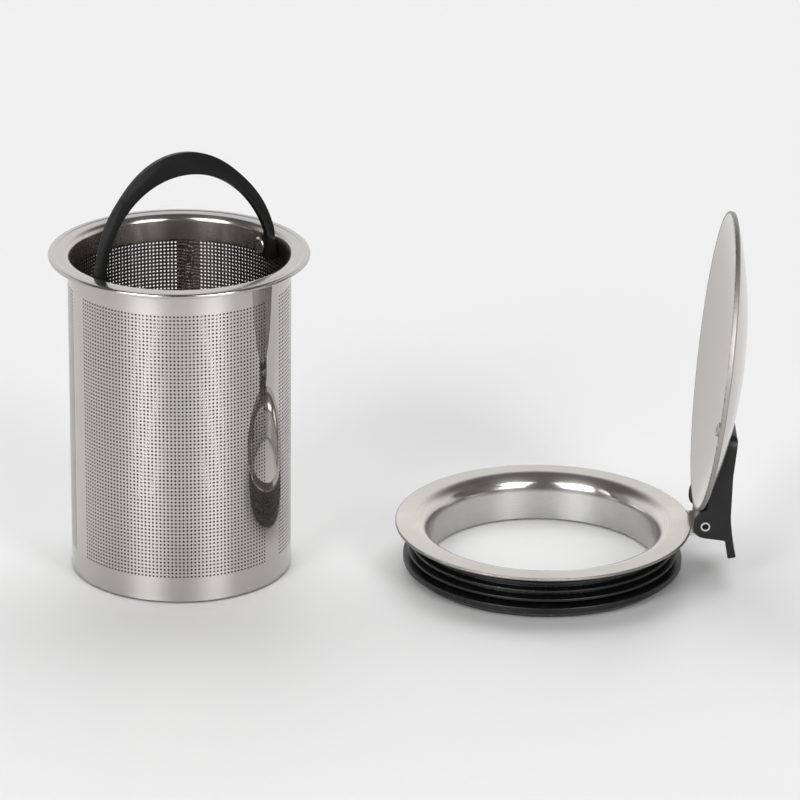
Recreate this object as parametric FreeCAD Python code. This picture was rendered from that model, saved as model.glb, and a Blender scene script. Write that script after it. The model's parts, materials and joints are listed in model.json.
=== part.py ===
"""Teapot infuser set: a lift-out perforated basket with a folding bail, beside its gasketed collar with
a hinged domed lid. Millimetres. The origin is the middle of the set's footprint at table level, +Z up.
The basket stands at -X and the collar lies at +X, its lid hinge furthest out along +X. Every piece is
made about its own group's upright axis, then moved to its place on the table."""
import FreeCAD
import Part
import math
import os

V = FreeCAD.Vector
X_DIR = V(1, 0, 0)
Y_DIR = V(0, 1, 0)
Z_DIR = V(0, 0, 1)
ORIGIN = V(0, 0, 0)
RUNNING = 0.05                      # radial clearance of a pin that turns in its hole
SEAT = 0.01                         # radial gap where a piece is fixed in another

BASKET_AT = V(-65.6, 0.5, 0)         # the two upright axes on the table
COLLAR_AT = V(45.0, 0, 0)

# basket
WALL_R = 33.5                       # outside of the etched tube
WALL_T = 0.4
WALL_FOOT_Z = 0.4
WALL_TOP_Z = 98.1
RIM_TOP_Z = 100.2
RIM_R = 39.2
RIM_T = 0.6
RIM_BEND_R = 2.0                    # rounded mouth corner
RIM_LIP_H = 1.25
RIM_BEAD_R = 37.5                   # the outermost ring of the flange stands proud of the rest
RIM_DISH = 0.12
NECK_T = 0.4
NECK_FOOT_Z = 92.4
SKIRT_TOP_Z = 7.8
FLOOR_T = 0.5
FLOOR_RAISE = 1.0
FLOOR_RAISED_R = 27.5
SEAM_ANGLE = 88.0
SEAM_W = 3.0
SEAM_T = 0.3

# bail
BAIL_ANGLE = 37.6                   # direction of the bail's pivot axis, from +X
PIVOT_Z = 95.8
BAIL_LEAN = 8.3                     # stands this far back from upright
BAIL_OFFSET = 4.35                  # bail plate centre, ahead of the pivot axis
BAIL_T = 2.0
BAIL_LEG_R = 32.3
BAIL_CROWN = 2.3                    # extra reach of the crown over the legs
BAIL_INNER_R = 27.75
BAIL_INNER_GROW = 1.55
FOOT_OUT = 31.9
FOOT_IN = 29.9
FOOT_HUB_R = 2.9
FOOT_DROP = 3.9
STUD_R = 1.5
STUD_HEAD_R = 2.65
STUD_HEAD_T = 0.85

# collar
COLLAR_TOP_Z = 14.4
COLLAR_R = 45.2
COLLAR_T = 0.8
BORE_R = 34.8
BORE_CORNER_R = 5.0
BORE_FOOT_Z = 0.15
HEM_R = 37.4
TONGUE_HALF_W = 9.0
TONGUE_END_X = 48.1
LUG_T = 0.8
LUG_START_X = 46.1
LUG_R = 2.5

# gasket
GASKET_CORE_R = 38.4
GASKET_FOOT_R = 40.4
LIPS = ((3.7, 42.7, 1.8), (6.05, 41.3, 0.9), (8.5, 40.5, 0.9), (10.95, 40.0, 0.9))

# hinge
PIN_X = 48.75
PIN_Z = 18.3
PIN_R = 1.45
PIN_BORE_R = 0.95
LID_OPEN = 95.9

# lid, described closed
LID_R = 45.3
LID_FOOT_Z = 14.5
LID_BAND_H = 1.4
LID_TOP_Z = 23.5
LID_T = 0.8                         # at the crown; the skin thickens into a hemmed edge
LID_EDGE_T = 0.5
LEVER_HALF_W = 13.3
NOSE_X = 19.6                       # end of the paddle, from the lid's axis
EAR_T = 1.6
EYE_R = 3.67                        # the ears are round about the hinge pin
BOSS_R = 2.6
SCREW_X = 24.0
SCREW_Y = 5.0
SCREW_R = 1.1
SCREW_HEAD_R = 2.1
SCREW_HEAD_T = 0.8
SCREW_LEN = 3.3


def rounded_wire(corners):
    """Closed wire in the XZ plane through (x, z, corner radius) triples."""
    pts = [V(c[0], 0, c[1]) for c in corners]
    count = len(pts)
    trims = []
    for i, corner in enumerate(corners):
        here = pts[i]
        back = (pts[i - 1] - here).normalize()
        ahead = (pts[(i + 1) % count] - here).normalize()
        radius = corner[2]
        if radius <= 0:
            trims.append((here, None, here))
            continue
        half = back.getAngle(ahead) / 2
        run = radius / math.tan(half)
        middle = (back + ahead).normalize()
        centre = here + middle * (radius / math.sin(half))
        trims.append((here + back * run, centre - middle * radius, here + ahead * run))
    edges = []
    for i in range(count):
        start, mid, end = trims[i]
        if mid is not None:
            edges.append(Part.Arc(start, mid, end).toShape())
        nxt = trims[(i + 1) % count][0]
        if end.distanceToPoint(nxt) > 1e-6:
            edges.append(Part.makeLine(end, nxt))
    return Part.Wire(edges)


def turned(corners):
    """Solid of revolution about the Z axis from (r, z, corner radius) triples."""
    return Part.Face(rounded_wire(corners)).revolve(ORIGIN, Z_DIR, 360)


def across(corners, y_low, y_high):
    """The same corners, swept straight along Y."""
    face = Part.Face(rounded_wire(corners))
    solid = face.extrude(V(0, y_high - y_low, 0))
    solid.translate(V(0, y_low, 0))
    return solid


def rod(radius, start, end):
    """Round bar between two points."""
    way = end - start
    return Part.makeCylinder(radius, way.Length, start, way)


def opened(shape):
    """Turns a shape of the closed lid about the hinge pin to where the lid stands open."""
    turned_shape = shape.copy()
    turned_shape.rotate(V(PIN_X, 0, PIN_Z), Y_DIR, LID_OPEN)
    return turned_shape


def moved(shape, place):
    """A copy of a shape made about the origin, moved to its group's axis."""
    copy = shape.copy()
    copy.translate(place)
    return copy


# ---------------------------------------------------------------- basket
def basket_wall():
    inner = WALL_R - WALL_T
    return turned([(inner, WALL_FOOT_Z, 0), (WALL_R, WALL_FOOT_Z, 0.15),
                   (WALL_R, WALL_TOP_Z, 0), (inner, WALL_TOP_Z, 0)])


def basket_rim():
    neck_out = WALL_R - WALL_T - SEAT
    neck_in = neck_out - NECK_T
    under = RIM_TOP_Z - RIM_T
    lip_in = RIM_R - 0.9
    lip_foot = RIM_TOP_Z - RIM_LIP_H
    return turned([(neck_in, NECK_FOOT_Z, 0), (neck_out, NECK_FOOT_Z, 0),
                   (neck_out, under, RIM_BEND_R - RIM_T), (lip_in, under, 0.2),
                   (lip_in, lip_foot, 0.3), (RIM_R, lip_foot, 0.4),
                   (RIM_R, RIM_TOP_Z, 0.5), (RIM_BEAD_R, RIM_TOP_Z, 0.3),
                   (RIM_BEAD_R - 0.4, RIM_TOP_Z - RIM_DISH, 0.3),
                   (neck_in, RIM_TOP_Z - RIM_DISH, RIM_BEND_R)])


def basket_floor():
    skirt_out = WALL_R - WALL_T - SEAT
    skirt_in = skirt_out - NECK_T
    raised = FLOOR_RAISED_R
    return turned([(0, FLOOR_RAISE, 0), (raised, FLOOR_RAISE, 0.5), (raised + 1.2, 0, 0.5),
                   (skirt_out, 0, 0.9), (skirt_out, SKIRT_TOP_Z, 0), (skirt_in, SKIRT_TOP_Z, 0),
                   (skirt_in, FLOOR_T, 0.5), (raised + 1.2, FLOOR_T, 0.5),
                   (raised, FLOOR_RAISE + FLOOR_T, 0.5), (0, FLOOR_RAISE + FLOOR_T, 0)])


def basket_seam():
    outer = WALL_R - WALL_T - SEAT
    low = SKIRT_TOP_Z + 0.2
    high = NECK_FOOT_Z - 0.2
    tube = Part.makeCylinder(outer, high - low, V(0, 0, low))
    tube = tube.cut(Part.makeCylinder(outer - SEAM_T, high - low, V(0, 0, low)))
    window = Part.makeBox(outer, SEAM_W, high - low, V(10, -SEAM_W / 2, low))
    strip = tube.common(window)
    strip.rotate(ORIGIN, Z_DIR, SEAM_ANGLE)
    return strip


def pivot_stud(side):
    """Headed stud welded to the neck, pointing at the basket's axis. side is +1 or -1 along the pivot
    axis."""
    neck_in = WALL_R - WALL_T - SEAT - NECK_T
    shank = rod(STUD_R, V(FOOT_IN - 0.05, 0, 0), V(neck_in + 1, 0, 0))
    neck = Part.makeCylinder(neck_in - SEAT, 20, V(0, 0, -10))
    shank = shank.common(neck)
    head = rod(STUD_HEAD_R, V(FOOT_IN - 0.05 - STUD_HEAD_T, 0, 0), V(FOOT_IN - 0.05, 0, 0))
    rim_edge = [e for e in head.Edges if abs(e.BoundBox.XMax - (FOOT_IN - 0.05 - STUD_HEAD_T)) < 1e-4]
    head = head.makeFillet(0.6, rim_edge[:1])
    stud = shank.fuse(head).removeSplitter()
    if side < 0:
        stud.rotate(ORIGIN, Z_DIR, 180)
    stud.rotate(ORIGIN, Z_DIR, BAIL_ANGLE)
    stud.translate(V(0, 0, PIVOT_Z))
    return stud


# ---------------------------------------------------------------- bail
def bail_reach(angle):
    """Outer edge distance from the pivot line's middle, angle in degrees from the crown."""
    share = min(1.0, abs(angle) / 48.0)
    return BAIL_LEG_R + BAIL_CROWN * (1 - share ** 2) ** 2


def bail_hollow(angle):
    """Inner edge distance, angle in degrees from the crown."""
    return BAIL_INNER_R + BAIL_INNER_GROW * (angle / 75.0) ** 2


def bail_plate():
    """Crescent in the XZ plane, its legs running down to the feet."""
    leg_angle = 80.0
    steps = [leg_angle * (i / 8.0 - 1.0) for i in range(17)]
    outer = [V(bail_reach(a) * math.sin(math.radians(a)), 0, bail_reach(a) * math.cos(math.radians(a)))
             for a in steps]
    inner = [V(bail_hollow(a) * math.sin(math.radians(a)), 0, bail_hollow(a) * math.cos(math.radians(a)))
             for a in steps]
    curve_out = Part.BSplineCurve()
    curve_out.interpolate(outer)
    curve_in = Part.BSplineCurve()
    curve_in.interpolate(inner)
    foot_in = FOOT_IN - 0.9
    right_out = V(FOOT_OUT, 0, -FOOT_DROP)
    right_in = V(foot_in, 0, -FOOT_DROP)
    left_out = V(-FOOT_OUT, 0, -FOOT_DROP)
    left_in = V(-foot_in, 0, -FOOT_DROP)
    edges = [curve_out.toShape(), Part.makeLine(outer[-1], right_out), Part.makeLine(right_out, right_in),
             Part.makeLine(right_in, inner[-1]), curve_in.toShape(), Part.makeLine(inner[0], left_in),
             Part.makeLine(left_in, left_out), Part.makeLine(left_out, outer[0])]
    face = Part.Face(Part.Wire(Part.__sortEdges__(edges)))
    plate = face.extrude(V(0, BAIL_T, 0))
    plate.translate(V(0, -BAIL_OFFSET - BAIL_T / 2, 0))
    return plate


def bail_foot(side):
    """Pivot plate at one end, square to the pivot axis, joining the leg to the hub."""
    front = -BAIL_OFFSET - BAIL_T / 2
    back = -BAIL_OFFSET + BAIL_T / 2
    length = FOOT_OUT - FOOT_IN
    outline = [V(0, back, 6.2), V(0, front + 0.3, 6.2), V(0, front, -FOOT_DROP),
               V(0, back + 0.8, -FOOT_DROP), V(0, -0.9, -FOOT_HUB_R + 0.14), V(0, 0, 0),
               V(0, -0.3, FOOT_HUB_R - 0.02), V(0, -2.2, 3.9)]
    web = Part.Face(Part.makePolygon(outline + outline[:1])).extrude(V(length, 0, 0))
    hub = Part.makeCylinder(FOOT_HUB_R, length, ORIGIN, X_DIR)
    foot = web.fuse(hub)
    foot.translate(V(FOOT_IN, 0, 0))
    if side < 0:
        foot = foot.mirror(ORIGIN, X_DIR)
    return foot


def handle():
    body = bail_plate().fuse([bail_foot(1), bail_foot(-1)]).removeSplitter()
    bore = rod(STUD_R + RUNNING, V(-40, 0, 0), V(40, 0, 0))
    body = body.cut(bore)
    # the bail plane sits ahead of the axis (-Y here) and leans back towards +Y
    body.rotate(ORIGIN, X_DIR, -BAIL_LEAN)
    body.rotate(ORIGIN, Z_DIR, BAIL_ANGLE)
    body.translate(V(0, 0, PIVOT_Z))
    return body


# ---------------------------------------------------------------- collar
def collar_ring():
    under = COLLAR_TOP_Z - COLLAR_T
    wall_out = BORE_R + COLLAR_T
    hem_top = BORE_FOOT_Z + COLLAR_T
    ring = turned([(BORE_R, BORE_FOOT_Z, 0.4), (HEM_R, BORE_FOOT_Z, 0.2), (HEM_R, hem_top, 0.2),
                   (wall_out, hem_top, 0), (wall_out, under, BORE_CORNER_R - COLLAR_T),
                   (COLLAR_R, under, 0.15), (COLLAR_R, COLLAR_TOP_Z, 0.35),
                   (BORE_R, COLLAR_TOP_Z, BORE_CORNER_R)])
    tongue = Part.makeBox(TONGUE_END_X - 43.0, 2 * TONGUE_HALF_W, COLLAR_T,
                          V(43.0, -TONGUE_HALF_W, under))
    ring = ring.fuse(tongue)
    for side in (-1, 1):
        y_out = side * TONGUE_HALF_W
        y_in = y_out - side * LUG_T
        stem = across([(LUG_START_X, under, 0), (TONGUE_END_X, under, 0),
                       (PIN_X + 1.4, PIN_Z - 2.07, 0), (PIN_X - 2.45, PIN_Z - 0.45, 0)],
                      min(y_in, y_out), max(y_in, y_out))
        eye = rod(LUG_R, V(PIN_X, y_in, PIN_Z), V(PIN_X, y_out, PIN_Z))
        ring = ring.fuse([stem, eye])
    ring = ring.cut(rod(PIN_R + RUNNING, V(PIN_X, -20, PIN_Z), V(PIN_X, 20, PIN_Z)))
    return ring.removeSplitter()


def collar_gasket():
    """Stretch-on silicone sleeve with four wiping lips, gripped between the flange and the hem. Each lip is
    (height of its top, radius, thickness of its edge); the lowest is the widest and the stoutest."""
    wall_out = BORE_R + COLLAR_T + SEAT
    hem_top = BORE_FOOT_Z + COLLAR_T + SEAT
    under = COLLAR_TOP_Z - COLLAR_T
    corners = [(HEM_R + SEAT, 0, 0), (GASKET_FOOT_R, 0, 0.4)]
    for index, (lip_top, lip_r, lip_t) in enumerate(LIPS):
        if index > 0:
            corners.append((GASKET_CORE_R, lip_top - lip_t - 0.5, 0.3))
        corners += [(lip_r, lip_top - lip_t, 0.3), (lip_r, lip_top, 0.3),
                    (GASKET_CORE_R, lip_top + 0.3, 0.3)]
    corners += [(GASKET_CORE_R, under - 0.4, 0), (wall_out, COLLAR_TOP_Z - BORE_CORNER_R, 0),
                (wall_out, hem_top, 0), (HEM_R + SEAT, hem_top, 0)]
    return turned(corners)


# ---------------------------------------------------------------- lid
def dome_radius():
    """Sphere radius of the lid's outside."""
    rise = LID_TOP_Z - LID_FOOT_Z - LID_BAND_H
    return (LID_R ** 2 + rise ** 2) / (2 * rise)


def hollow_ball():
    """Sphere that the lid's inside follows, from the crown right out to the edge."""
    edge_r = LID_R - LID_EDGE_T
    rise = LID_TOP_Z - LID_T - LID_FOOT_Z
    radius = (edge_r ** 2 + rise ** 2) / (2 * rise)
    return radius, V(0, 0, LID_TOP_Z - LID_T - radius)


def dome_solid(extra):
    """Filled lid, grown by extra, for trimming what sits on it."""
    ball = Part.makeSphere(dome_radius() + extra, V(0, 0, LID_TOP_Z - dome_radius()))
    post = Part.makeCylinder(LID_R + extra, 20, V(0, 0, LID_FOOT_Z - extra))
    return ball.common(post)


def lid_shell():
    radius, centre = hollow_ball()
    shell = dome_solid(0).cut(Part.makeSphere(radius, centre))
    foot = [e for e in shell.Edges if e.BoundBox.ZMax < LID_FOOT_Z + 0.01]
    shell = shell.makeFillet(0.25, foot)
    shoulder = [e for e in shell.Edges
                if abs(e.BoundBox.ZMax - LID_FOOT_Z - LID_BAND_H) < 0.05 and e.BoundBox.XMax > LID_R - 0.1]
    if shoulder:
        shell = shell.makeFillet(0.5, shoulder)
    for side in (-1, 1):
        axis_foot, axis_way = screw_axis(side)
        hole = Part.makeCylinder(SCREW_R + SEAT, 12, axis_foot - axis_way * 6, axis_way)
        shell = shell.cut(hole)
    return shell


def screw_axis(side):
    """Point on the dome's inner face and the outward direction there."""
    radius, centre = hollow_ball()
    radial = math.hypot(SCREW_X, SCREW_Y)
    rise = math.sqrt(radius ** 2 - radial ** 2)
    point = V(SCREW_X, side * SCREW_Y, centre.z + rise)
    return point, (point - centre).normalize()


def lever_screw(side):
    """Pan-head screw driven from inside the dome into the lever."""
    point, way = screw_axis(side)
    seat = point - way * 0.04
    head = Part.makeCylinder(SCREW_HEAD_R, SCREW_HEAD_T, seat - way * SCREW_HEAD_T, way)
    shank = Part.makeCylinder(SCREW_R, SCREW_LEN, seat - way * 0.1, way)
    screw = head.fuse(shank)
    slot_a = Part.makeBox(2.4, 0.5, 0.6, V(-1.2, -0.25, 0))
    slot_b = Part.makeBox(0.5, 2.4, 0.6, V(-0.25, -1.2, 0))
    cross = slot_a.fuse(slot_b)
    cross.Placement = FreeCAD.Placement(seat - way * (SCREW_HEAD_T + 0.1), FreeCAD.Rotation(Z_DIR, way))
    return screw.cut(cross).removeSplitter()


def lid_lever():
    """Moulded thumb lever: a paddle lying on the dome, two ears round the lugs and a tail to press."""
    side_view = [(NOSE_X, 20.0, 0), (NOSE_X, 24.5, 1.5), (32.0, 24.45, 20.0), (45.5, 25.6, 20.0),
                 (54.5, 27.6, 12.0), (57.6, 28.9, 0.5), (58.4, 26.4, 0.5), (52.7, 24.9, 0.6),
                 (PIN_X + EYE_R, PIN_Z - EYE_R, EYE_R - 0.05), (46.7, PIN_Z - EYE_R, 1.5),
                 (44.5, 16.3, 1.0), (43.1, 18.1, 1.0), (38.0, 18.2, 0)]
    block = across(side_view, -LEVER_HALF_W, LEVER_HALF_W)
    # plan outline: full width from the hinge to a blunt, round-cornered nose on the dome
    plan = Part.Face(rounded_wire([(60, -LEVER_HALF_W, 0), (60, LEVER_HALF_W, 0),
                                   (34, LEVER_HALF_W, 40.0), (NOSE_X, 12.2, 4.0),
                                   (NOSE_X, -12.2, 4.0), (34, -LEVER_HALF_W, 40.0)]))
    plan.rotate(ORIGIN, V(1, 0, 0), 90)
    lever = block.common(plan.extrude(V(0, 0, 40)))
    lever = lever.cut(dome_solid(SEAT))
    # pocket between the ears, open below and behind
    ear_in = LEVER_HALF_W - EAR_T
    pocket = across([(45.35, 10, 0), (60, 10, 0), (60, PIN_Z + 1.2, 0), (51.35, PIN_Z + 1.2, 0),
                     (51.35, 23.2, 0.6), (45.35, 23.0, 0.6)], -ear_in, ear_in)
    lever = lever.cut(pocket)
    for side in (-1, 1):
        boss_in = side * (TONGUE_HALF_W + 0.15)
        boss_out = side * (LEVER_HALF_W - 0.2)
        lever = lever.fuse(rod(BOSS_R, V(PIN_X, boss_in, PIN_Z), V(PIN_X, boss_out, PIN_Z)))
    lever = lever.cut(rod(PIN_R + SEAT, V(PIN_X, -20, PIN_Z), V(PIN_X, 20, PIN_Z)))
    for side in (-1, 1):
        point, way = screw_axis(side)
        lever = lever.cut(Part.makeCylinder(SCREW_R + SEAT, SCREW_LEN + 0.1, point - way * 0.1, way))
    return lever.removeSplitter()


def hinge_pin():
    length = LEVER_HALF_W + 0.05
    tube = rod(PIN_R, V(PIN_X, -length, PIN_Z), V(PIN_X, length, PIN_Z))
    return tube.cut(rod(PIN_BORE_R, V(PIN_X, -length - 1, PIN_Z), V(PIN_X, length + 1, PIN_Z)))


def main():
    os.makedirs("parts", exist_ok=True)
    basket_group = {
        "basket_wall": basket_wall(),
        "basket_rim": basket_rim(),
        "basket_floor": basket_floor(),
        "basket_seam": basket_seam(),
        "pivot_stud_front": pivot_stud(-1),
        "pivot_stud_back": pivot_stud(1),
        "handle": handle(),
    }
    collar_group = {
        "collar_ring": collar_ring(),
        "collar_gasket": collar_gasket(),
        "hinge_pin": opened(hinge_pin()),
        "lid_shell": opened(lid_shell()),
        "lid_lever": opened(lid_lever()),
        "lever_screw_front": opened(lever_screw(-1)),
        "lever_screw_back": opened(lever_screw(1)),
    }
    for group, place in ((basket_group, BASKET_AT), (collar_group, COLLAR_AT)):
        for name, shape in group.items():
            node = moved(shape, place)
            node.exportStep("parts/" + name + ".step")
            print(name, "valid" if node.isValid() else "BROKEN", round(node.Volume, 1), "mm3")


main()
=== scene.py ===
"""Looks of the teapot infuser set: the perforated basket with its bail, and the collar with its lid.
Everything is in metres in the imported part's frame. MM turns the part's millimetres into metres."""
import json
import math
import bpy
import bmesh
from mathutils import Matrix, Vector


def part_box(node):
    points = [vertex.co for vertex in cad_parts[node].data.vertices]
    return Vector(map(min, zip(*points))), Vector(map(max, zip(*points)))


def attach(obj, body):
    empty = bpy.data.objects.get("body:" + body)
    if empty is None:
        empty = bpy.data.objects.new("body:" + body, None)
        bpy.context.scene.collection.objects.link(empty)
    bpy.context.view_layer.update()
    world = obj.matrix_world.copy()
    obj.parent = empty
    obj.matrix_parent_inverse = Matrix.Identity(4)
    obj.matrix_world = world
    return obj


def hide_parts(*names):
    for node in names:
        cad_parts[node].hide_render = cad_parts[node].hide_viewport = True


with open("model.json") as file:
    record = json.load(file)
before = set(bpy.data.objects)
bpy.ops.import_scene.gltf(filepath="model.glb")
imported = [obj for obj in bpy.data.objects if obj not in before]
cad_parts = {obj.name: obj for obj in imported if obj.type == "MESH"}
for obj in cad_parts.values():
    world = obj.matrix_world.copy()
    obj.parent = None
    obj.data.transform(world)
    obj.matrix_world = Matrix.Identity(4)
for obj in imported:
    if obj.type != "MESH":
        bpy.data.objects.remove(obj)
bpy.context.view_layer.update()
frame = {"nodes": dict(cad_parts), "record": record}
scene = bpy.context.scene
MM = 0.001
TAU = 2 * math.pi


# ------------------------------------------------------------------ places and sizes
def centre_of(node):
    low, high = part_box(node)
    return [(low[i] + high[i]) / 2 for i in range(3)]


# the basket's wall: a rolled sheet, closed by a seam at the back and spot-welded to the neck
WALL_LOW, WALL_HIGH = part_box("basket_wall")
BASKET_X = (WALL_LOW[0] + WALL_HIGH[0]) / 2
BASKET_Y = (WALL_LOW[1] + WALL_HIGH[1]) / 2
BASKET_CENTRE = (BASKET_X, BASKET_Y, 0)
WALL_R = (WALL_HIGH[0] - WALL_LOW[0]) / 2
WALL_GAUGE = 0.4 * MM
INNER_R = WALL_R - WALL_GAUGE
SEAM_X = 1.2 * MM                    # how far the seam lies from the basket's axis, towards +X
WELD_Z = 92.2 * MM                   # height of the spot welds, just above the top row of holes

# the drain holes: three fields of round holes on a square grid, with a plain strip between fields
HOLE_R = 0.325 * MM
HOLE_SIDES = 8                       # two to each side of a hole's square cell
ROWS = 73
COLUMNS = 55
ROW_PITCH = 1.1515 * MM
COLUMN_PITCH = 1.1515 * MM
COLUMN_STEP = math.degrees(COLUMN_PITCH / WALL_R)
FIRST_ROW_Z = 8.4 * MM
FIELD_MIDDLES = (-1.9, 118.1, 238.1)          # degrees from the front, turning towards +X
THROATS = (0.2 * MM, 0.325 * MM, 0.325 * MM)  # hole radius on the inner skin, field by field
STRIPS_BETWEEN = 8                   # facets across the plain strip between two fields

# the collar
COLLAR_CENTRE = (centre_of("collar_gasket")[0], 0, 0)
FLANGE_R = 45.2 * MM
BORE_R = 34.9 * MM                   # just outside the bore's straight wall, which is plain
BRUSHED_R = 36.5 * MM                # part of the way up the rounded mouth, brushed from here outwards

# the lid as it stands open about its hinge pin; its foot is the middle of its edge's plane
LID_R = 45.3 * MM
LID_OPEN = math.radians(95.9)
LID_AXIS = Vector((math.sin(LID_OPEN), 0, math.cos(LID_OPEN)))
PIN_TO_FOOT = Vector((-48.75, 0, -3.8)) * MM  # while the lid is closed
LID_FOOT = Vector(centre_of("hinge_pin")) + Matrix.Rotation(LID_OPEN, 3, "Y") @ PIN_TO_FOOT

# mesh building
ARC_STEPS = 6                        # facets round each soft corner of an outline
TURNS = 240                          # facets round a spun piece
DOME_RINGS = 24                      # facets from the dome's pole to its edge
SHARP_CORNER = math.radians(35)      # edges of the mouldings that are rounded over

# ------------------------------------------------------------------ colours and finishes
INSIDE_SHADE_TINT = (1.04, 1.0, 0.94)            # tint of the painted shade inside the basket, over its outer colour
SEAM_SHADE_LIMIT = 0.7                     # the least of the outside's brightness that the painted shade inside leaves beside the seam
PUCKER = 0.02 * MM                   # height of the puckers that welding leaves in the sheet
NECK_PUCKER = 0.4                    # share of that height under the neck
# painted shade on the bores of the drain holes
HOLE_BORE_SHADE = (0.1, 0.095, 0.09)
HOLE_EDGE_ROUGH = 0.6
COLLAR_BORE = (0.52, 0.515, 0.505)
COLLAR_EDGE_SHADE = (0.3, 0.28, 0.26)      # painted shade along the flange's cut edge
COLLAR_EDGE_ROUGH = 0.5
# painted shade on the lid's band, and painted glints and shade on its cut edge
LID_BAND_SHADE = (0.2, 0.195, 0.19)
LID_BAND_SHARE = 0.5                 # how far the band takes on its painted shade
LID_BAND_ROUGH = 0.5
LID_EDGE_SHADE = (0.16, 0.155, 0.15)
LID_EDGE_GLINT = (0.5, 0.49, 0.47)
LEVEL_GRAIN = (0.06, 0.06, 1)        # stretches noise into level scratches
UPRIGHT_GRAIN = (1, 1, 0.05)         # stretches noise into upright lines
SHEET_BUMP = 0.1 * MM                # how far noise at its highest stands out, at a bump's full strength
FINE_BUMP = 0.05 * MM
USUAL_NOISE = (0.3, 0.7)             # the range that noise mostly keeps to

# ------------------------------------------------------------------ studio and camera
BACKDROP_LIGHT = 0.9                 # white backdrop beyond the table, over the dim studio's own light
BACKDROP_SIDES = (-0.2, 0.3)         # a view direction's y where the backdrop starts, and is full
BACKDROP_TOP = (0.75, 0.4)           # the same for a view direction's z
STUDIO_LIGHT = 0.13
FLOOR_REACH = 6.0
FLOOR_SINK = 0.2 * MM                # how far under the part the floor lies
# name, place, what it is aimed at, width, height, power, whether it lights surfaces, whether it is reflected
LIGHTS = (
    ("softbox_left", (-0.95, -1.4, 1.1), (0, 0, 0.05), 0.7, 1.0, 14, True, True),
    ("softbox_right", (1.05, -1.35, 1.0), (0, 0, 0.05), 0.6, 1.0, 12, True, True),
    ("band_left", (-0.98, -1.35, 1.0), (-0.065, 0, 0.05), 1.1, 1.3, 22, False, True),
    ("band_right", (0.93, -1.4, 1.0), (-0.065, 0, 0.05), 1.05, 1.3, 18, False, True),
    ("top_back", (0, 1.0, 1.7), (0, 0.1, 0), 2.4, 1.4, 28, True, False),
)
CAMERA_PLACE = (0.000882, -1.270047, 0.547917)
CAMERA_PITCH = math.radians(21.2793)  # looking down
CAMERA_ROLL = math.radians(0.6219)
CAMERA_LENS = 202.64                 # millimetres, like the sensor's width
CAMERA_SENSOR = 36
CAMERA_CLIP_END = 50


# ------------------------------------------------------------------ node helpers
class Tree:
    """Short hand for building a node tree."""

    def __init__(self, tree):
        self.tree = tree

    def add(self, kind, **settings):
        node = self.tree.nodes.new(kind)
        for key, value in settings.items():
            setattr(node, key, value)
        return node

    def link(self, source, target):
        self.tree.links.new(source, target)

    def put(self, node, name, value):
        """Sets or links one input of a node."""
        target = node.inputs[name]
        if isinstance(value, bpy.types.NodeSocket):
            self.link(value, target)
        else:
            target.default_value = value

    def math(self, operation, a, b=0.0):
        node = self.add("ShaderNodeMath", operation=operation)
        self.put(node, 0, a)
        self.put(node, 1, b)
        return node.outputs[0]

    def plus(self, a, b):
        return self.math("ADD", a, b)

    def times(self, a, b):
        return self.math("MULTIPLY", a, b)

    def larger(self, a, b):
        return self.math("MAXIMUM", a, b)

    def away_from(self, value, middle):
        return self.math("ABSOLUTE", self.math("SUBTRACT", value, middle))

    def weigh(self, first, second, share):
        """Two values as one, the second with this share of it."""
        return self.plus(self.times(first, 1 - share), self.times(second, share))

    def ramp(self, value, low, high, from_low=0.0, from_high=1.0, kind="LINEAR"):
        """Turns from_low to from_high into low to high, and holds both ends."""
        node = self.add("ShaderNodeMapRange", interpolation_type=kind)
        self.put(node, "Value", value)
        self.put(node, "From Min", from_low)
        self.put(node, "From Max", from_high)
        self.put(node, "To Min", low)
        self.put(node, "To Max", high)
        return node.outputs["Result"]

    def rise(self, value, start, end):
        """0 up to start, 1 from end on."""
        return self.ramp(value, 0, 1, start, end)

    def fall(self, value, start, end):
        """1 up to start, 0 from end on."""
        return self.ramp(value, 1, 0, start, end)

    def parts(self, vector):
        """The x, y and z of a vector."""
        node = self.add("ShaderNodeSeparateXYZ")
        self.put(node, 0, vector)
        return node.outputs[:]

    def vector(self, operation, a, b=(0, 0, 0)):
        node = self.add("ShaderNodeVectorMath", operation=operation)
        self.put(node, 0, a)
        self.put(node, 1, b)
        return node.outputs["Value" if operation in ("LENGTH", "DOT_PRODUCT") else "Vector"]

    def stretch(self, vector, factors):
        return self.vector("MULTIPLY", vector, factors)


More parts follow.
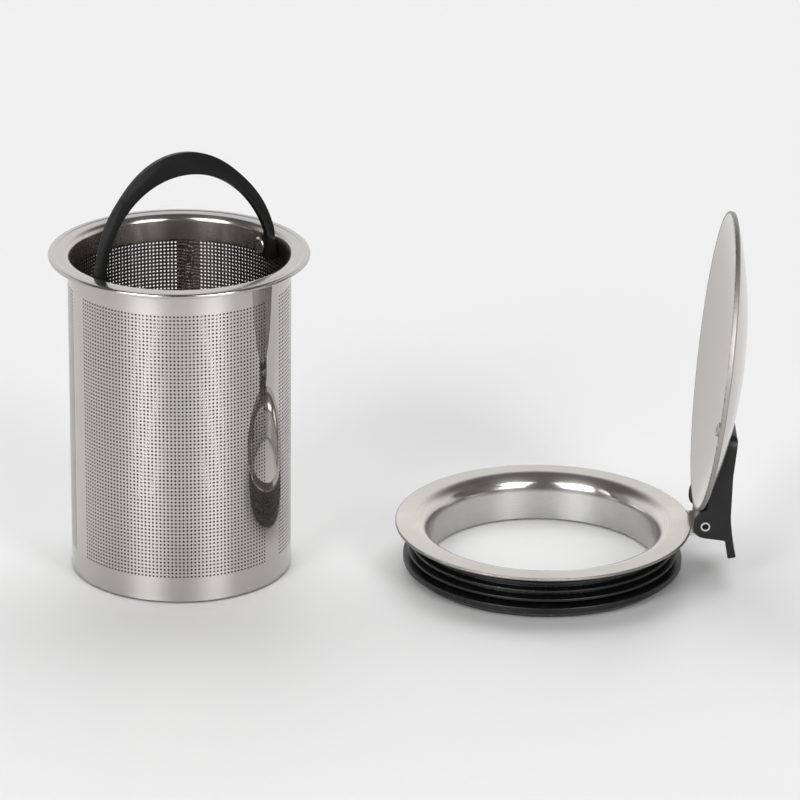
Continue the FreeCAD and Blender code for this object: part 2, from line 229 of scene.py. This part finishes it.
class Nodes(Tree):
    """The node tree of a new material, with one main shader."""

    def __init__(self, name):
        self.material = bpy.data.materials.new(name)
        self.material.use_nodes = True
        super().__init__(self.material.node_tree)
        self.tree.nodes.clear()
        self.output = self.add("ShaderNodeOutputMaterial")
        self.shader = self.add("ShaderNodeBsdfPrincipled")
        self.link(self.shader.outputs[0], self.output.inputs["Surface"])

    def shade(self, **inputs):
        """Sets or links inputs of the main shader, their names written with underscores."""
        for name, value in inputs.items():
            self.put(self.shader, name.replace("_", " "), value)

    def place(self, origin=(0, 0, 0)):
        """The point being shaded, in metres from an origin."""
        coordinates = self.add("ShaderNodeTexCoord")
        return self.vector("SUBTRACT", coordinates.outputs["Object"], origin)

    def noise(self, vector, scale, detail=2.0, roughness=0.5):
        """Noise about 0.5; scale is how many lumps come to a metre."""
        node = self.add("ShaderNodeTexNoise")
        self.put(node, "Vector", vector)
        self.put(node, "Scale", scale)
        self.put(node, "Detail", detail)
        self.put(node, "Roughness", roughness)
        return node.outputs["Fac"]

    def mix(self, factor, under, over):
        """Two colours, each a node's output or a plain (red, green, blue)."""
        node = self.add("ShaderNodeMix", data_type="RGBA")
        self.put(node, 0, factor)
        # a mix node's sockets 6 and 7, and its output 2, are the ones that carry colours
        for socket, colour in ((6, under), (7, over)):
            plain = not isinstance(colour, bpy.types.NodeSocket)
            self.put(node, socket, (*colour, 1) if plain else colour)
        return node.outputs[2]

    def bump(self, height, strength, distance):
        node = self.add("ShaderNodeBump")
        self.put(node, "Height", height)
        self.put(node, "Strength", strength)
        self.put(node, "Distance", distance)
        return node.outputs["Normal"]

    def two_lobes(self, colour, roughness, anisotropy, spread, normal, share):
        """Adds a brushed metal lobe over the main shader, mixed in by share."""
        brushed = self.add("ShaderNodeBsdfPrincipled")
        for name, value in (("Base Color", colour), ("Metallic", 1.0), ("Roughness", roughness),
                            ("Anisotropic", anisotropy), ("Tangent", spread), ("Normal", normal)):
            self.put(brushed, name, value)
        mix = self.add("ShaderNodeMixShader")
        self.put(mix, 0, share)
        self.link(self.shader.outputs[0], mix.inputs[1])
        self.link(brushed.outputs[0], mix.inputs[2])
        self.link(mix.outputs[0], self.output.inputs["Surface"])


# ------------------------------------------------------------------ materials
def around(n, centre):
    """The place, its distance from an upright axis, and the direction across ring brushing, which is the
    way that the brushed surface spreads light."""
    place = n.place(centre)
    flat = n.stretch(place, (1, 1, 0))
    radius = n.vector("LENGTH", flat)
    ring = n.vector("CROSS_PRODUCT", (0, 0, 1), flat)
    geometry = n.add("ShaderNodeNewGeometry")
    spread = n.vector("CROSS_PRODUCT", ring, geometry.outputs["Normal"])
    return place, radius, n.vector("NORMALIZE", spread)


def inside_of_basket(n, place, radius):
    """Four values: how far inside the outer skin a point is, how near the seam, how far it is on the bore of
    a drain hole, where shade is painted, and the height of the puckers that the spot welds leave beside the
    seam and under the neck."""
    x, y, z = n.parts(place)
    inside = n.fall(radius, WALL_R - 0.1 * MM, WALL_R - 0.02 * MM)
    behind = n.math("GREATER_THAN", y, 0.0)
    near_seam = n.times(n.fall(n.away_from(x, SEAM_X), 1.5 * MM, 7 * MM), behind)
    near_weld = n.fall(n.away_from(z, WELD_Z), 0.3 * MM, 3.0 * MM)
    puckered = n.times(n.larger(near_seam, n.times(near_weld, NECK_PUCKER)), inside)
    puckers = n.times(n.noise(n.stretch(place, (1, 1, 0.6)), scale=330, detail=1), puckered)
    within_sheet = n.times(n.fall(radius, WALL_R - 0.05 * MM, WALL_R - 0.02 * MM),
                           n.rise(radius, INNER_R + 0.02 * MM, INNER_R + 0.05 * MM))
    # where the painted shade of the hole bores goes
    shaded_hole_bore = n.times(within_sheet, n.math("LESS_THAN", z, WELD_Z))
    return inside, near_seam, shaded_hole_bore, puckers


def two_lobe_steel(name, dark, light, mirror_rough, brushed_rough, brushed_share, inside_shade, wave):
    """Rolled stainless sheet: a near mirror, with fine level scratches round an upright axis that spread
    light up and down. The inside is painted darker as the shade within the basket, down to this share of
    the outside's brightness, and less so beside the seam. wave is the height in metres of the sheet's slow
    ripples."""
    n = Nodes(name)
    place, radius, spread = around(n, BASKET_CENTRE)
    inside, near_seam, shaded_hole_bore, puckers = inside_of_basket(n, place, radius)
    clouds = n.noise(place, scale=60, detail=3)
    scratches = n.noise(n.stretch(place, LEVEL_GRAIN), scale=14000, detail=2, roughness=0.6)
    tone = n.weigh(clouds, scratches, 0.3)
    # painted shade: the inside skin is darkened as the shade within the basket, less so beside the seam
    shade_tint = [0.5 * (dark[i] + light[i]) * INSIDE_SHADE_TINT[i] for i in range(3)]
    by_seam = max(inside_shade, SEAM_SHADE_LIMIT)
    painted_inside_shade = n.mix(near_seam, [v * inside_shade for v in shade_tint], [v * by_seam for v in shade_tint])
    colour = n.mix(inside, n.mix(tone, dark, light), painted_inside_shade)
    # painted shade: the bores of the drain holes are darkened
    colour = n.mix(shaded_hole_bore, colour, HOLE_BORE_SHADE)
    waves = n.times(n.noise(place, scale=130, detail=1), wave)
    ripple = n.bump(n.plus(waves, n.times(puckers, PUCKER)), strength=1.0, distance=1.0)
    n.shade(Base_Color=colour, Metallic=1.0, Normal=ripple,
            Roughness=n.larger(n.ramp(tone, mirror_rough, mirror_rough * 2),
                               n.times(shaded_hole_bore, HOLE_EDGE_ROUGH)))
    share = n.ramp(scratches, brushed_share * 0.8, brushed_share * 1.2)
    n.two_lobes(colour, brushed_rough, anisotropy=0.9, spread=spread, normal=ripple, share=share)
    return n.material


def rolled_sheet(n, place, rough_low, rough_high):
    """Three values: soft cloudy wear over faint upright rolling lines, the roughness and relief they give."""
    clouds = n.noise(place, scale=40, detail=3)
    lines = n.noise(n.stretch(place, UPRIGHT_GRAIN), scale=2500, detail=3, roughness=0.6)
    tone = n.weigh(clouds, lines, 0.4)
    roughness = n.ramp(tone, rough_low, rough_high, *USUAL_NOISE)
    return tone, roughness, n.bump(lines, strength=0.02, distance=SHEET_BUMP)


def steel(name, dark, light, rough_low, rough_high):
    """Plain stainless steel."""
    n = Nodes(name)
    tone, roughness, relief = rolled_sheet(n, n.place(), rough_low, rough_high)
    n.shade(Base_Color=n.mix(tone, dark, light), Metallic=1.0, Roughness=roughness, Normal=relief)
    return n.material


def lid_skin(name, dark, light, rough_low, rough_high):
    """Satin stainless dome, its band rougher and painted darker as shade, and its cut edge speckled with
    painted glints and shade.
    """
    n = Nodes(name)
    place = n.place()
    tone, roughness, relief = rolled_sheet(n, place, rough_low, rough_high)
    from_foot = n.place(LID_FOOT)
    height = n.vector("DOT_PRODUCT", from_foot, LID_AXIS)
    reach_squared = n.math("SUBTRACT", n.vector("DOT_PRODUCT", from_foot, from_foot), n.times(height, height))
    band = n.rise(n.math("SQRT", reach_squared), LID_R - 0.9 * MM, LID_R - 0.7 * MM)
    edge = n.times(band, n.fall(height, 0.25 * MM, 0.35 * MM))
    # painted reflection: the cut edge is speckled light and dark as glints and shade, and the band is
    # darkened as shade
    glint_specks = n.rise(n.noise(place, scale=2500, detail=1), 0.42, 0.58)
    painted_cut_edge = n.mix(glint_specks, LID_EDGE_SHADE, LID_EDGE_GLINT)
    face = n.mix(n.times(band, LID_BAND_SHARE), n.mix(tone, dark, light), LID_BAND_SHADE)
    n.shade(Base_Color=n.mix(edge, face, painted_cut_edge), Metallic=1.0, Normal=relief,
            Roughness=n.larger(roughness, n.times(band, LID_BAND_ROUGH)))
    return n.material


def ring_brushed_steel(name, centre, dark, light, gloss_rough, brushed_rough, brushed_share, bump):
    """Stainless brushed in fine rings round an upright axis, its gloss still showing between them. The bore
    is plain, and the flange's cut edge is rougher and painted darker as shade."""
    n = Nodes(name)
    place, radius, spread = around(n, centre)
    section = n.add("ShaderNodeCombineXYZ")
    n.put(section, 0, radius)
    n.put(section, 1, n.parts(place)[2])
    rings = n.noise(section.outputs[0], scale=5000, detail=4, roughness=0.75)
    clouds = n.noise(place, scale=60, detail=3)
    tone = n.weigh(clouds, rings, 0.6)
    relief = n.bump(rings, bump, FINE_BUMP)
    bore = n.fall(radius, BORE_R, BRUSHED_R)
    # painted shade: the flange's cut edge is darkened
    painted_cut_edge = n.times(n.rise(radius, FLANGE_R - 0.4 * MM, FLANGE_R - 0.2 * MM),
                  n.fall(radius, FLANGE_R + 0.1 * MM, FLANGE_R + 0.2 * MM))
    colour = n.mix(n.rise(tone, 0.35, 0.65), dark, light)
    colour = n.mix(bore, colour, COLLAR_BORE)
    colour = n.mix(painted_cut_edge, colour, COLLAR_EDGE_SHADE)
    n.shade(Base_Color=colour, Metallic=1.0, Normal=relief,
            Roughness=n.larger(n.times(painted_cut_edge, COLLAR_EDGE_ROUGH), gloss_rough))
    share = n.ramp(tone, brushed_share * 0.7, brushed_share * 1.3, *USUAL_NOISE)
    n.two_lobes(colour, brushed_rough, anisotropy=0.8, spread=spread, normal=relief, share=share)
    return n.material


def black_moulding(name, dark, light, rough_low, rough_high, grain_scale, bump, shine, dust=0.0):
    """Black plastic or rubber with a fine spark-eroded skin; dust is how pale its clinging specks are."""
    n = Nodes(name)
    place = n.place()
    skin = n.noise(place, scale=grain_scale, detail=4, roughness=0.7)
    clouds = n.noise(place, scale=90, detail=3)
    colour = n.mix(clouds, dark, light)
    if dust > 0:
        specks = n.rise(n.noise(place, scale=1600, detail=0), 0.77, 0.84)
        sheltered = n.rise(n.noise(place, scale=70, detail=1), 0.45, 0.65)
        colour = n.mix(n.times(specks, sheltered), colour, (dust, dust, dust))
    n.shade(Base_Color=colour, Roughness=n.ramp(skin, rough_low, rough_high, *USUAL_NOISE),
            Normal=n.bump(skin, bump, FINE_BUMP), Specular_IOR_Level=shine)
    return n.material


def floor_card():
    n = Nodes("white_card")
    fibre = n.noise(n.place(), scale=900, detail=3)
    n.shade(Base_Color=n.mix(fibre, (0.80, 0.80, 0.80), (0.82, 0.82, 0.82)),
            Roughness=n.ramp(fibre, 0.45, 0.55))
    return n.material


MATERIALS = {
    "basket_steel": two_lobe_steel(
        "basket_steel", dark=(0.51, 0.495, 0.475), light=(0.55, 0.535, 0.515), mirror_rough=0.015,
        brushed_rough=0.42, brushed_share=0.18, inside_shade=0.32, wave=0.02 * MM),
    "rim_steel": two_lobe_steel(
        "rim_steel", dark=(0.48, 0.465, 0.445), light=(0.52, 0.505, 0.485), mirror_rough=0.11,
        brushed_rough=0.35, brushed_share=0.15, inside_shade=1.0, wave=0.01 * MM),
    "stud_steel": steel(
        "stud_steel", dark=(0.6, 0.59, 0.57), light=(0.66, 0.65, 0.63), rough_low=0.12, rough_high=0.2),
    "handle_plastic": black_moulding(
        "handle_plastic", dark=(0.003, 0.003, 0.003), light=(0.006, 0.006, 0.006), rough_low=0.34,
        rough_high=0.44, grain_scale=6000, bump=0.18, shine=0.26),
    "collar_steel": ring_brushed_steel(
        "collar_steel", COLLAR_CENTRE, dark=(0.54, 0.51, 0.475), light=(0.69, 0.66, 0.615),
        gloss_rough=0.1, brushed_rough=0.35, brushed_share=0.3, bump=0.2),
    "gasket_silicone": black_moulding(
        "gasket_silicone", dark=(0.003, 0.003, 0.003), light=(0.007, 0.007, 0.007), rough_low=0.3,
        rough_high=0.42, grain_scale=3000, bump=0.05, shine=0.4, dust=0.3),
    "pin_steel": steel(
        "pin_steel", dark=(0.6, 0.59, 0.57), light=(0.66, 0.65, 0.63), rough_low=0.15, rough_high=0.25),
    "lid_steel": lid_skin(
        "lid_steel", dark=(0.50, 0.485, 0.465), light=(0.54, 0.525, 0.505), rough_low=0.13,
        rough_high=0.18),
    "lever_plastic": black_moulding(
        "lever_plastic", dark=(0.007, 0.007, 0.007), light=(0.012, 0.012, 0.012), rough_low=0.36,
        rough_high=0.46, grain_scale=6000, bump=0.2, shine=0.35),
    "screw_steel": steel(
        "screw_steel", dark=(0.50, 0.485, 0.465), light=(0.54, 0.525, 0.505), rough_low=0.4,
        rough_high=0.5),
}


def dress(obj, slot):
    """Gives an object the material of one of the record's slots."""
    obj.data.materials.clear()
    obj.data.materials.append(MATERIALS[slot])


def stand_for(obj, body, slot, *nodes):
    """Gives a finished piece its material, parents it to the empty of the body that carries it, and hides the
    nodes it stands for.
    """
    dress(obj, slot)
    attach(obj, body)
    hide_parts(*nodes)


# ------------------------------------------------------------------ mesh helpers
def mesh_object(name, points, faces, smooth_angle=50):
    mesh = bpy.data.meshes.new(name)
    mesh.from_pydata(points, [], faces)
    mesh.validate()
    mesh.shade_smooth()
    mesh.set_sharp_from_angle(angle=math.radians(smooth_angle))
    obj = bpy.data.objects.new(name, mesh)
    scene.collection.objects.link(obj)
    return obj


def rounded_copy(node, name, width):
    """A node's own shape with its sharp edges rounded over."""
    mesh = frame["nodes"][node].data.copy()
    mesh.name = name
    edit = bmesh.new()
    edit.from_mesh(mesh)
    bmesh.ops.remove_doubles(edit, verts=edit.verts, dist=1e-6)
    bmesh.ops.dissolve_limit(edit, angle_limit=math.radians(0.3), verts=edit.verts, edges=edit.edges)
    corners = [e for e in edit.edges if e.is_manifold and e.calc_face_angle() > SHARP_CORNER]
    bmesh.ops.bevel(edit, geom=corners, offset=width, segments=2, affect="EDGES", profile=0.5,
                    clamp_overlap=True)
    edit.to_mesh(mesh)
    edit.free()
    mesh.shade_smooth()
    mesh.set_sharp_from_angle(angle=math.radians(30))
    obj = bpy.data.objects.new(name, mesh)
    scene.collection.objects.link(obj)
    return obj


def soft_corners(corners):
    """Points of a closed outline through (r, z, corner radius) triples, each corner rounded by an arc."""
    points = []
    count = len(corners)
    for i, (r, z, radius) in enumerate(corners):
        if radius <= 0:
            points.append((r, z))
            continue
        here = Vector((r, z))
        back = (Vector(corners[i - 1][:2]) - here).normalized()
        ahead = (Vector(corners[(i + 1) % count][:2]) - here).normalized()
        half = back.angle(ahead) / 2
        centre = here + (back + ahead).normalized() * (radius / math.sin(half))
        start = here + back * (radius / math.tan(half)) - centre
        end = here + ahead * (radius / math.tan(half)) - centre
        turn = start.angle_signed(end)
        for k in range(ARC_STEPS + 1):
            arm = start.copy()
            arm.rotate(Matrix.Rotation(-turn * k / ARC_STEPS, 2))
            points.append(tuple(centre + arm))
    return points


def lathe(name, centre, outline):
    """Closed ring turned from an outline of (r, z) points in millimetres."""
    points = []
    faces = []
    count = len(outline)
    for k in range(TURNS):
        angle = TAU * k / TURNS
        for r, z in outline:
            reach = r * MM
            points.append((centre[0] + reach * math.cos(angle), centre[1] + reach * math.sin(angle), z * MM))
    for k in range(TURNS):
        here = k * count
        after = (k + 1) % TURNS * count
        for i in range(count):
            j = (i + 1) % count
            faces.append([here + i, here + j, after + j, after + i])
    return mesh_object(name, points, faces, 40)


# ------------------------------------------------------------------ basket rim and lid, sizes in millimetres
def basket_rim():
    """Neck, wide rounded mouth corner, slightly dished flange with a proud outer ring, and a curled lip."""
    neck_in = 32.69
    neck_out = neck_in + 0.4
    neck_foot = 92.4
    mouth_corner = 2.0
    underside = 99.6
    top = 100.2
    dished = top - 0.12
    ring_in = 37.5
    lip_in = 38.3
    lip_out = 39.2
    lip_foot = 98.95
    outline = soft_corners([
        (neck_in, neck_foot, 0.1), (neck_out, neck_foot, 0.1), (neck_out, underside, 1.4),
        (lip_in, underside, 0.3), (lip_in, lip_foot, 0.25), (lip_out, lip_foot, 0.4), (lip_out, top, 0.6),
        (ring_in, top, 0.3), (ring_in - 0.4, dished, 0.3), (neck_in, dished, mouth_corner)])
    stand_for(lathe("basket_mouth", (BASKET_X, BASKET_Y), outline), "basket", "rim_steel", "basket_rim")


def dome_arc(edge_r, edge_z, top):
    """Corners of a ball's outline, from its top down to just before its edge."""
    rise = top - edge_z
    ball = (edge_r ** 2 + rise ** 2) / (2 * rise)
    steps = [edge_r * k / DOME_RINGS for k in range(DOME_RINGS)]
    return [(r, top - ball + math.sqrt(ball ** 2 - r ** 2), 0) for r in steps]


def lid_dome():
    """Spun dome, round inside and out, with its short turned band, stood open about the hinge pin."""
    crown = 9.0
    crown_gauge = 0.8
    band = 1.4
    edge_gauge = 0.5
    outer = LID_R / MM
    inner = outer - edge_gauge
    inside = dome_arc(inner, 0, crown - crown_gauge)
    outside = dome_arc(outer, band, crown)
    edge = [(inner, 0, 0.05), (outer, 0, 0.25), (outer, band, 0.5)]
    dome = lathe("lid_dome", (0, 0), soft_corners(inside + edge + outside[::-1]))
    edit = bmesh.new()
    edit.from_mesh(dome.data)
    bmesh.ops.remove_doubles(edit, verts=edit.verts, dist=1e-7)
    edit.to_mesh(dome.data)
    edit.free()
    dome.data.transform(Matrix.Translation(LID_FOOT) @ Matrix.Rotation(LID_OPEN, 4, "Y"))
    stand_for(dome, "lid", "lid_steel", "lid_shell")


# ------------------------------------------------------------------ basket wall
def wall_point(angle, z, radius):
    """Angle in degrees from the front towards +X."""
    a = math.radians(angle)
    return (BASKET_X + radius * math.sin(a), BASKET_Y - radius * math.cos(a), z)


def round_normals(mesh):
    """Shades both skins of a pierced sheet as true cylinders, and the bores of its holes as they are."""
    def outward(point):
        return Vector((point.x - BASKET_X, point.y - BASKET_Y, 0)).normalized()

    normals = []
    for face in mesh.polygons:
        facing = face.normal.dot(outward(face.center))
        for loop in face.loop_indices:
            if abs(facing) > 0.9:
                point = mesh.vertices[mesh.loops[loop].vertex_index].co
                normals.append(outward(point) * math.copysign(1, facing))
            else:
                normals.append(face.normal.copy())
    mesh.normals_split_custom_set(normals)


def perforated_field(name, middle, throat):
    """One field of round holes right through the sheet, as cells of the square grid. The holes are etched
    from outside and may close in to a narrower throat on the inner skin."""
    start = middle - COLUMN_STEP * COLUMNS / 2
    points = []
    faces = []
    corner_ids = {}

    def corner(column, row, radius):
        key = (column, row, radius)
        if key not in corner_ids:
            corner_ids[key] = len(points)
            z = FIRST_ROW_Z + (row - 0.5) * ROW_PITCH
            points.append(wall_point(start + column * COLUMN_STEP, z, radius))
        return corner_ids[key]

    def hole_ring(angle, z, radius, opening):
        ring = []
        for side in range(HOLE_SIDES):
            turn = TAU * (side + 0.5) / HOLE_SIDES
            away = math.degrees(opening * math.cos(turn) / WALL_R)
            ring.append(len(points))
            points.append(wall_point(angle + away, z + opening * math.sin(turn), radius))
        return ring

    for column in range(COLUMNS):
        angle = start + (column + 0.5) * COLUMN_STEP
        for row in range(ROWS):
            z = FIRST_ROW_Z + row * ROW_PITCH
            rings = []
            for radius, opening in ((WALL_R, HOLE_R), (INNER_R, throat)):
                ring = hole_ring(angle, z, radius, opening)
                rings.append(ring)
                square = [corner(column + 1, row, radius), corner(column + 1, row + 1, radius),
                          corner(column, row + 1, radius), corner(column, row, radius)]
                # ring vertex 0 looks to the upper right, so side k of the square faces ring edge 2k-1
                cell = [[square[k], square[(k + 1) % 4], ring[2 * k], ring[2 * k - 1]] for k in range(4)]
                cell += [[square[(k + 1) % 4], ring[2 * k + 1], ring[2 * k]] for k in range(4)]
                for face in cell:
                    faces.append(face if radius == WALL_R else face[::-1])
            outer, inner = rings
            for side in range(HOLE_SIDES):
                after = (side + 1) % HOLE_SIDES
                faces.append([outer[side], outer[after], inner[after], inner[side]])
    field = mesh_object(name, points, faces)
    round_normals(field.data)
    return field


def wall_facets():
    """Upright facets all the way round the wall: whether holes pierce each one, and where it starts."""
    half = COLUMN_STEP * COLUMNS / 2
    facets = []
    for index, middle in enumerate(FIELD_MIDDLES):
        for column in range(COLUMNS):
            facets.append((True, middle - half + column * COLUMN_STEP))
        gap_start = middle + half
        gap_end = (FIELD_MIDDLES + (FIELD_MIDDLES[0] + 360,))[index + 1] - half
        for k in range(STRIPS_BETWEEN):
            facets.append((False, gap_start + (gap_end - gap_start) * k / STRIPS_BETWEEN))
    return facets


def plain_wall():
    """The unpierced bands at the top and foot of the wall and the strips between the fields."""
    facets = wall_facets()
    count = len(facets)
    field_low = FIRST_ROW_Z - ROW_PITCH / 2
    field_high = FIRST_ROW_Z + (ROWS - 0.5) * ROW_PITCH
    levels = (WALL_LOW[2], field_low, field_high, WALL_HIGH[2])
    top = len(levels) - 1
    outer, inner = range(2)
    points = [wall_point(angle, z, radius) for radius in (WALL_R, INNER_R) for _, angle in facets
              for z in levels]
    faces = []

    def corner(skin, facet, level):
        return (skin * count + facet % count) * len(levels) + level

    for skin in (outer, inner):
        for i, (pierced, _) in enumerate(facets):
            for level in range(top):
                if pierced and levels[level] == field_low:
                    continue
                quad = [corner(skin, i, level), corner(skin, i + 1, level),
                        corner(skin, i + 1, level + 1), corner(skin, i, level + 1)]
                faces.append(quad if skin == outer else quad[::-1])
    for i in range(count):
        faces.append([corner(outer, i + 1, 0), corner(outer, i, 0),
                      corner(inner, i, 0), corner(inner, i + 1, 0)])
        faces.append([corner(outer, i, top), corner(outer, i + 1, top),
                      corner(inner, i + 1, top), corner(inner, i, top)])
    return mesh_object("basket_wall_plain", points, faces)


def basket_wall():
    for letter, middle, throat in zip("abc", FIELD_MIDDLES, THROATS):
        field = perforated_field("basket_wall_holes_" + letter, middle, throat)
        stand_for(field, "basket", "basket_steel", "basket_wall")
    stand_for(plain_wall(), "basket", "basket_steel", "basket_wall")


# ------------------------------------------------------------------ stage
def floor():
    mesh = bpy.data.meshes.new("floor")
    mesh.from_pydata([(-FLOOR_REACH, -FLOOR_REACH, 0), (FLOOR_REACH, -FLOOR_REACH, 0),
                      (FLOOR_REACH, FLOOR_REACH, 0), (-FLOOR_REACH, FLOOR_REACH, 0)], [], [(0, 1, 2, 3)])
    obj = bpy.data.objects.new("floor", mesh)
    obj.data.materials.append(floor_card())
    obj.location.z = -FLOOR_SINK
    scene.collection.objects.link(obj)


def studio_world():
    """Dim studio all round and overhead, with a white backdrop standing behind the table."""
    world = bpy.data.worlds.new("studio")
    scene.world = world
    world.use_nodes = True
    n = Tree(world.node_tree)
    background = n.tree.nodes["Background"]
    coordinates = n.add("ShaderNodeTexCoord")
    _, y, z = n.parts(coordinates.outputs["Generated"])
    behind = n.ramp(y, 0, 1, *BACKDROP_SIDES, "SMOOTHSTEP")
    low = n.ramp(z, 0, 1, *BACKDROP_TOP, "SMOOTHSTEP")
    backdrop = n.times(n.times(behind, low), BACKDROP_LIGHT)
    n.put(background, "Color", (1.0, 1.0, 1.0, 1))
    n.put(background, "Strength", n.plus(backdrop, STUDIO_LIGHT))


def area_light(name, place, target, width, height, power, diffuse, gloss):
    data = bpy.data.lights.new(name, "AREA")
    data.shape = "RECTANGLE"
    data.size = width
    data.size_y = height
    data.energy = power
    obj = bpy.data.objects.new(name, data)
    obj.location = place
    way = Vector(target) - Vector(place)
    obj.rotation_euler = way.to_track_quat("-Z", "Y").to_euler()
    obj.visible_diffuse = diffuse
    obj.visible_glossy = gloss
    scene.collection.objects.link(obj)


def camera():
    right = Vector((1, 0, 0))
    up = Vector((0, math.sin(CAMERA_PITCH), math.cos(CAMERA_PITCH)))
    ahead = Vector((0, math.cos(CAMERA_PITCH), -math.sin(CAMERA_PITCH)))
    rolled_right = right * math.cos(CAMERA_ROLL) + up * math.sin(CAMERA_ROLL)
    rolled_up = up * math.cos(CAMERA_ROLL) - right * math.sin(CAMERA_ROLL)
    data = bpy.data.cameras.new("camera")
    data.lens = CAMERA_LENS
    data.sensor_width = CAMERA_SENSOR
    data.clip_end = CAMERA_CLIP_END
    obj = bpy.data.objects.new("camera", data)
    turn = Matrix((rolled_right, rolled_up, -ahead)).transposed().to_4x4()
    obj.matrix_world = Matrix.Translation(CAMERA_PLACE) @ turn
    scene.collection.objects.link(obj)
    scene.camera = obj


# ------------------------------------------------------------------ the whole set
scene.view_settings.view_transform = "Standard"
for subpart in frame["record"]["subparts"]:
    dress(frame["nodes"][subpart["node"]], subpart["material_slot"])
basket_wall()
basket_rim()
stand_for(rounded_copy("handle", "bail", 0.25 * MM), "bail", "handle_plastic", "handle")
lid_dome()
stand_for(rounded_copy("lid_lever", "thumb_lever", 0.3 * MM), "lid", "lever_plastic", "lid_lever")
floor()
studio_world()
for light in LIGHTS:
    area_light(*light)
camera()
